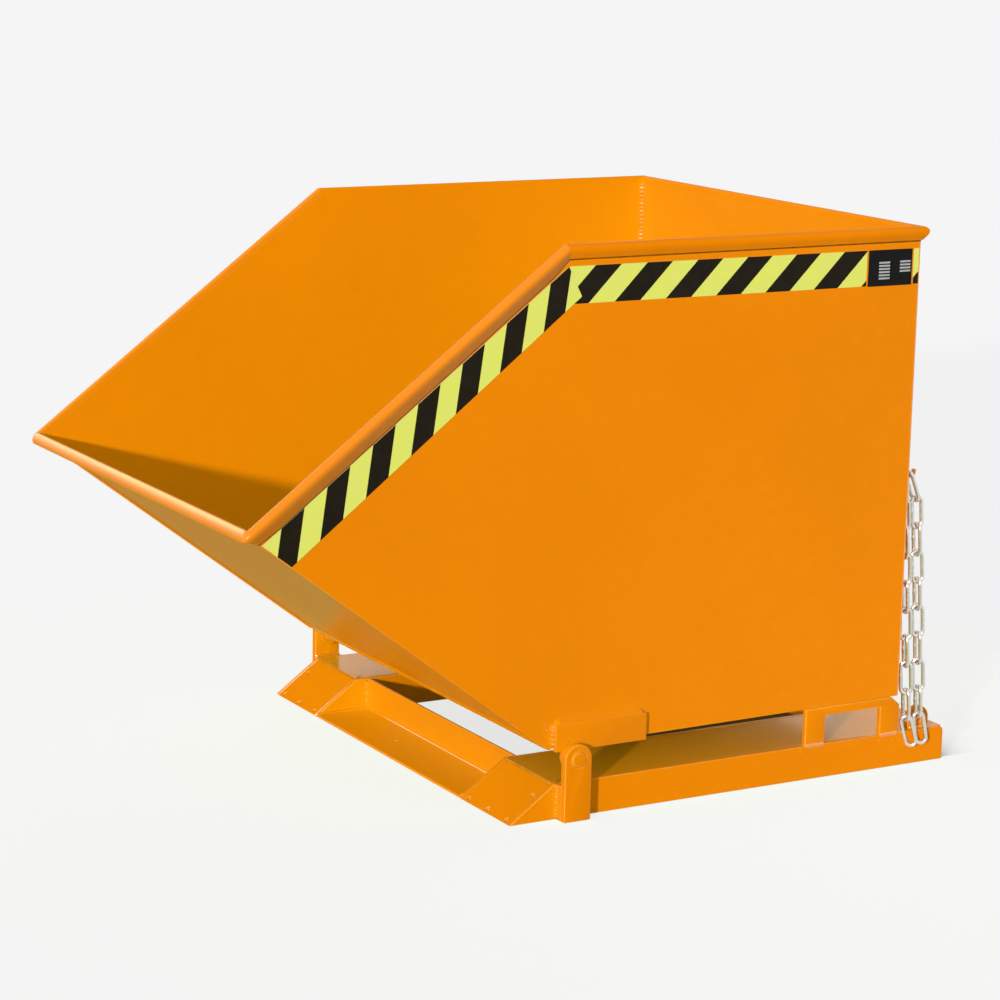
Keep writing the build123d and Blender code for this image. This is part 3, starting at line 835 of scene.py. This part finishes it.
def nose_corner_at(drop):
    """Where a line at a drop below the sloped rim meets the wall's front edge."""
    across_slope = slope_line - drop
    x = -(across_slope + front_line) / (2 * math.sin(lean))
    return x, (across_slope - front_line) / (2 * math.cos(lean))


def from_knee(points):
    """Places on a side wall given from the rim's corner at the knee."""
    return [(top_low.x + x, top_high.z + z) for x, z in points]


label_low, label_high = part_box("rating_plate")
tape_top = top_high.z - tape_drop
tape_low = tape_top - tape_width
tape_end = rear_high.x - tape_inset
slope_outline = [nose_corner_at(tape_drop), nose_corner_at(tape_drop + tape_width), *from_knee(lap_end)]
run_end = label_low.x - label_gap
run_outline = [*from_knee(level_start), (run_end, tape_low), (run_end, tape_top)]
rest_start = label_high.x + label_gap
level_end = [(tape_end, tape_low), (tape_end, tape_top)]
rest_outline = [(rest_start, tape_top), (rest_start, tape_low), *level_end]
full_outline = [*from_knee(level_start), *level_end]
striped_tape("tape_top_left", -1, [run_outline, rest_outline], *level_stripes_left, tape_thick)
striped_tape("tape_slope_left", -1, [slope_outline], *slope_stripes_left, lapped_thick)
striped_tape("tape_top_right", 1, [full_outline], *level_stripes_right, tape_thick)
striped_tape("tape_slope_right", 1, [slope_outline], *slope_stripes_right, lapped_thick)

# Rating plate
# A thin black anodised plate stuck on the left wall near the rear, printed with plain grey bars in two
# columns. The print is slightly worn, and the plate's edges are barely broken.
plate_black = (0.005, 0.0045, 0.0045)
print_grey = (0.50, 0.50, 0.48)
bar_height = 0.0030
bar_pitch = 0.0053
print_thick = 0.00015
plate_shine = 0.1
# Each column's left and right ends as shares of the plate, the drop to its first bar, and its bars
bar_columns = ((0.238, 0.488, 0.0216, 6), (0.720, 0.963, 0.0211, 4))

bm = plate_mesh("rating_plate")
round_edges(bm, sharp_edges(bm), pin_edge / 2, edge_steps)
shade(bm)
ink = bm.faces.layers.float.new("print")
label_width = label_high.x - label_low.x
for start, end, top_drop, count in bar_columns:
    for number in range(count):
        drop = top_drop + number * bar_pitch
        middle = Vector((label_low.x + label_width * (start + end) / 2, label_low.y, label_high.z - drop))
        size = Matrix.Diagonal((label_width * (end - start), 2 * print_thick, bar_height, 1.0))
        bar = bmesh.ops.create_cube(bm, size=1.0, matrix=Matrix.Translation(middle) @ size)
        for vertex in bar["verts"]:
            for face in vertex.link_faces:
                face[ink] = 1.0
plate_finish, tree, shader = new_material("rating plate")
worn = mixed(tree, speckle(tree, scale=300.0, detail=2.0, high=0.25), print_grey, plate_black)
rubbed = mixed(tree, speckle(tree, scale=80.0, detail=3.0, high=0.006), plate_black, print_grey)
anodised = {
    "Base Color": mixed(tree, painted_mask(tree, "print"), rubbed, worn),
    "Roughness": speckle(tree, scale=120.0, detail=2.0, low=0.32, high=0.45),
    "Specular IOR Level": plate_shine,
}
set_inputs(tree, shader, anodised)
finished("rating_plate.printed", bm, plate_finish, "hopper", "rating_plate", "rating_plate")

# Chain hook
# A short round bar bent up at its tip, welded to the rear wall near the left corner and painted with the
# hopper. The tip's edge is filed round, and the weld runs round the bar's foot as a collar.
hook_radius = 0.004
hook_bend = 0.008
hook_steps = 8
tip_rounding = ((0.0012, 1.0), (0.0005, 0.93), (0.0, 0.75))
wire_sides = 12
collar_steps = 24
collar_bead = (0.003, 0.0008, 0.3)


def lay_wire(bm, path, flat, radii, closed=False):
    """A round bar along a path in a plane, with its radius at each place."""
    rings = []
    last = len(path) - 1
    for number, place in enumerate(path):
        before = path[number - 1] if closed or number else place
        after = path[(number + 1) % len(path)] if closed or number < last else place
        along = (after - before).normalized()
        beside = along.cross(flat)
        ring = []
        for side_number in range(wire_sides):
            angle = 2 * math.pi * side_number / wire_sides
            ring.append(place + (flat * math.cos(angle) + beside * math.sin(angle)) * radii[number])
        rings.append(ring)
    skin(bm, rings, closed)


hook_low, hook_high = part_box("chain_hook")
hook_y = (hook_low.y + hook_high.y) / 2
hook_z = hook_low.z + hook_radius
tip_x = hook_high.x - hook_radius
hook_path = [Vector((hook_low.x, hook_y, hook_z))]
for number in range(hook_steps + 1):
    angle = number / hook_steps * math.pi / 2
    bend_x = tip_x - hook_bend + hook_bend * math.sin(angle)
    hook_path.append(Vector((bend_x, hook_y, hook_z + hook_bend - hook_bend * math.cos(angle))))
hook_radii = [hook_radius] * len(hook_path)
for below, size in tip_rounding:
    hook_path.append(Vector((tip_x, hook_y, hook_high.z - below)))
    hook_radii.append(hook_radius * size)
bm = bmesh.new()
lay_wire(bm, hook_path, right, hook_radii)
collar = []
for number in range(collar_steps):
    angle = 2 * math.pi * number / collar_steps
    radial = Vector((0, math.cos(angle), math.sin(angle)))
    collar.append((hook_path[0] + radial * hook_radius, radial, back, (radial + back).normalized()))
lay_bead(bm, collar, collar_bead, closed=True)
finished("chain_hook.bent", bm, weld_paint, "hopper", "orange_paint", "chain_hook")

# Safety chain
# Long-link chain of bright zinc-plated wire, hung doubled on the hook by its two top links. Each link is bent
# from wire and butt-welded on one leg, and the links hang a little turned and leaning against each other.
zinc_light = (0.90, 0.88, 0.84)
zinc_dark = (0.76, 0.74, 0.70)
wire_radius = 0.0035
link_bend = 0.009
link_inside = 0.048
link_step = 0.0477
first_drop = -0.0197
links_per_strand = 10
link_turns = (math.radians(-10), math.radians(-30))
turned_in = 4
link_sway = math.radians(7)
chain_lean = math.radians(5.37)
lean_in = math.radians(18.5)
far_lift = 0.0029
last_leans = (math.radians(15), math.radians(8))
weld_size = 0.14
weld_length = 0.0025
bow_steps = 10
leg_steps = 8
link_half = link_bend + wire_radius
leg_half = (link_inside + 2 * wire_radius) / 2 - link_bend
chain_hand = random.Random(3)

zinc, tree, shader = new_material("zinc")
plating = {
    "Base Color": mixed(tree, speckle(tree, scale=260.0, detail=2.0), zinc_light, zinc_dark),
    "Metallic": 1.0,
    "Roughness": speckle(tree, scale=420.0, detail=2.0, low=0.12, high=0.22),
    "Normal": bumped(tree, speckle(tree, scale=700.0, detail=2.0, high=0.006)),
}
set_inputs(tree, shader, plating)


def chain_link(bm, place):
    """One link of welded wire, upright in its own YZ plane."""
    path, radii = [], []
    for sense in (1, -1):
        for number in range(leg_steps + 1):
            z = sense * leg_half * (2 * number / leg_steps - 1)
            bump = weld_size * math.exp(-((z / weld_length) ** 2)) if sense > 0 else 0.0
            path.append(Vector((0, sense * link_bend, z)))
            radii.append(wire_radius * (1 + bump))
        for number in range(1, bow_steps):
            angle = math.pi * number / bow_steps
            y = sense * link_bend * math.cos(angle)
            path.append(Vector((0, y, sense * (leg_half + link_bend * math.sin(angle)))))
            radii.append(wire_radius)
    flat = place.to_3x3() @ back
    lay_wire(bm, [place @ point for point in path], flat, radii, closed=True)


def about(height, angle, axis):
    """A turn about a level line at a height in the link's own place."""
    shift = Matrix.Translation((0, 0, height))
    return shift @ Matrix.Rotation(angle, 4, axis) @ shift.inverted()


chain_low, chain_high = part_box("safety_chain")
near_strand = (chain_low.x + link_half, 0.0, 0.0, last_leans[0])
far_strand = (chain_high.x - link_half, lean_in, far_lift, last_leans[1])
bm = bmesh.new()
for strand_x, top_lean, lift, last_lean in (near_strand, far_strand):
    hang = Matrix.Translation((strand_x, hook_y, hook_z)) @ Matrix.Rotation(-chain_lean, 4, "X")
    for number in range(links_per_strand):
        place = hang @ Matrix.Translation((0, 0, first_drop - number * link_step + lift))
        twist = chain_hand.uniform(-link_sway, link_sway) if number else 0.0
        if number == 0:
            place = place @ about(leg_half - link_step, -top_lean, "Y")
        if number == links_per_strand - 1:
            place = place @ about(leg_half, -last_lean, "Y")
        twist += link_turns[number % 2] * min(1.0, number / turned_in)
        chain_link(bm, place @ Matrix.Rotation(math.pi / 2 * (number % 2) + twist, 4, "Z"))
finished("safety_chain.links", bm, zinc, "chain", "zinc_chain", "safety_chain")

# Floor, light and camera
# A plain pale floor under a low key light from the front left, a wide weaker one from behind and even light
# from all round. A round soft box shows only as shine, most of all on the lip.
floor_size = 80.0
floor_seen = 0.22
floor_thrown = 0.60
glossy_shares = (0.8, 0.32)
floor_warmth = (0.85, 1.0, 0.32)
nose_reach = (0.45, -0.05)
shade_from = (0.17, 0.25)
shade_depth = 0.3
shade_samples = 32
shade_open = (0.45, 0.9)
shade_colour = (0.050, 0.026, 0.004)
white = (1.0, 1.0, 1.0)
backdrop = 0.913
sky_fill = 0.50
key_direction = Vector((-1.2, -1.0, 0.33)).normalized()
key_strength = 2.6
key_angle = math.radians(2.5)
back_direction = Vector((0.70, 0.68, 0.20)).normalized()
back_strength = 0.9
back_angle = math.radians(50)
box_direction = Vector((-0.303, 0.8485, 0.433))
box_distance = 3.5
box_size = 2.0
box_level = 3.6
box_colour = (0.56, 1.0, 0.52)
camera_place = Vector((-2.51669, -4.41477, 1.50899))
camera_forward = Vector((0.48740, 0.84853, -0.20601))
camera_roll = math.radians(1.25)
camera_lens = 106.83
camera_sensor = 36.0


def add_lamp(name, kind, energy, direction):
    """A lamp that shines from a direction on the middle of the scene."""
    light = bpy.data.lights.new(name, kind)
    light.energy = energy
    lamp = bpy.data.objects.new(name, light)
    lamp.rotation_mode = "QUATERNION"
    lamp.rotation_quaternion = direction.to_track_quat("Z", "Y")
    bpy.context.scene.collection.objects.link(lamp)
    return lamp


def seen_share(tree, rays, mirrored_share):
    """How much of the light on a ray is seen: straight, through glass, or by its share in a mirror."""
    direct = sum_of(tree, "MAXIMUM", rays["Is Camera Ray"], rays["Is Transmission Ray"])
    return sum_of(tree, "MAXIMUM", direct, mirrored_share)


key_lamp = add_lamp("key_light", "SUN", key_strength, key_direction)
key_lamp.data.angle = key_angle
back_lamp = add_lamp("back_light", "SUN", back_strength, back_direction)
back_lamp.data.angle = back_angle
back_lamp.visible_glossy = False
box_area = math.pi * box_size * box_size / 4
box_energy = box_level * math.pi * box_area
box_lamp = add_lamp("soft_box", "AREA", box_energy, box_direction)
box_lamp.location = lip_top + box_direction * box_distance
box_lamp.data.shape = "DISK"
box_lamp.data.size = box_size
box_lamp.data.color = box_colour
box_lamp.visible_camera = False
box_lamp.visible_diffuse = False

world = bpy.data.worlds.new("studio")
bpy.context.scene.world = world
world.use_nodes = True
tree = world.node_tree
rays = add_node(tree, "LightPath").outputs
seen = seen_share(tree, rays, rays["Is Glossy Ray"])
sky = {"Color": (*white, 1.0), "Strength": remapped(tree, seen, after=(sky_fill, backdrop))}
set_inputs(tree, tree.nodes["Background"], sky)

floor_mesh = bpy.data.meshes.new("floor")
reach = floor_size / 2
corners = [(-reach, -reach, 0), (reach, -reach, 0), (reach, reach, 0), (-reach, reach, 0)]
floor_mesh.from_pydata(corners, [], [(0, 1, 2, 3)])
floor = bpy.data.objects.new("floor", floor_mesh)
bpy.context.scene.collection.objects.link(floor)
floor_material, tree, shader = new_material("pale floor")
rays = add_node(tree, "LightPath").outputs
place = add_node(tree, "SeparateXYZ", {0: add_node(tree, "TexCoord").outputs["Object"]}).outputs

# Painted reflection: the floor is warm only in what the nose mirrors
below_nose = remapped(tree, place["X"], nose_reach, smooth=True)
warm = product(tree, below_nose, rays["Is Glossy Ray"])
floor_colour = mixed(tree, rays["Is Diffuse Ray"], [floor_seen] * 3, [floor_thrown] * 3)
floor_colour = mixed(tree, warm, floor_colour, [floor_seen * part for part in floor_warmth])
floor_glow = mixed(tree, warm, white, floor_warmth)
mirrored_share = product(tree, rays["Is Glossy Ray"], remapped(tree, below_nose, after=glossy_shares))
seen = seen_share(tree, rays, mirrored_share)

# Painted shade: the floor turns dark brown between the rails, where the lowered hopper is close above
clear = add_node(tree, "AmbientOcclusion", {"Distance": shade_depth}, samples=shade_samples).outputs["AO"]
rail_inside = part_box("outer_rail_right")[0].y
between_rails = sum_of(tree, "LESS_THAN", sum_of(tree, "ABSOLUTE", place["Y"]), rail_inside)
covered = product(tree, remapped(tree, place["X"], shade_from, smooth=True), between_rails)
lit = remapped(tree, covered, after=(1.0, remapped(tree, clear, shade_open)))

# The glow makes up what the lamps leave short of the backdrop
lamp_light = key_strength * key_direction.z + back_strength * back_direction.z
floor_light = floor_seen * (sky_fill + lamp_light / math.pi)
ground = {
    "Base Color": mixed(tree, lit, shade_colour, floor_colour),
    "Roughness": 1.0,
    "Specular IOR Level": 0.0,
    "Emission Color": mixed(tree, lit, shade_colour, floor_glow),
    "Emission Strength": product(tree, seen, backdrop - floor_light),
}
set_inputs(tree, shader, ground)
floor_mesh.materials.append(floor_material)

camera = bpy.data.cameras.new("camera")
camera.lens = camera_lens
camera.sensor_width = camera_sensor
camera_object = bpy.data.objects.new("camera", camera)
camera_object.location = camera_place
camera_object.rotation_mode = "QUATERNION"
roll = Quaternion((0.0, 0.0, 1.0), camera_roll)
camera_object.rotation_quaternion = camera_forward.to_track_quat("-Z", "Y") @ roll
bpy.context.scene.collection.objects.link(camera_object)
bpy.context.scene.camera = camera_object
bpy.context.scene.view_settings.view_transform = "Standard"
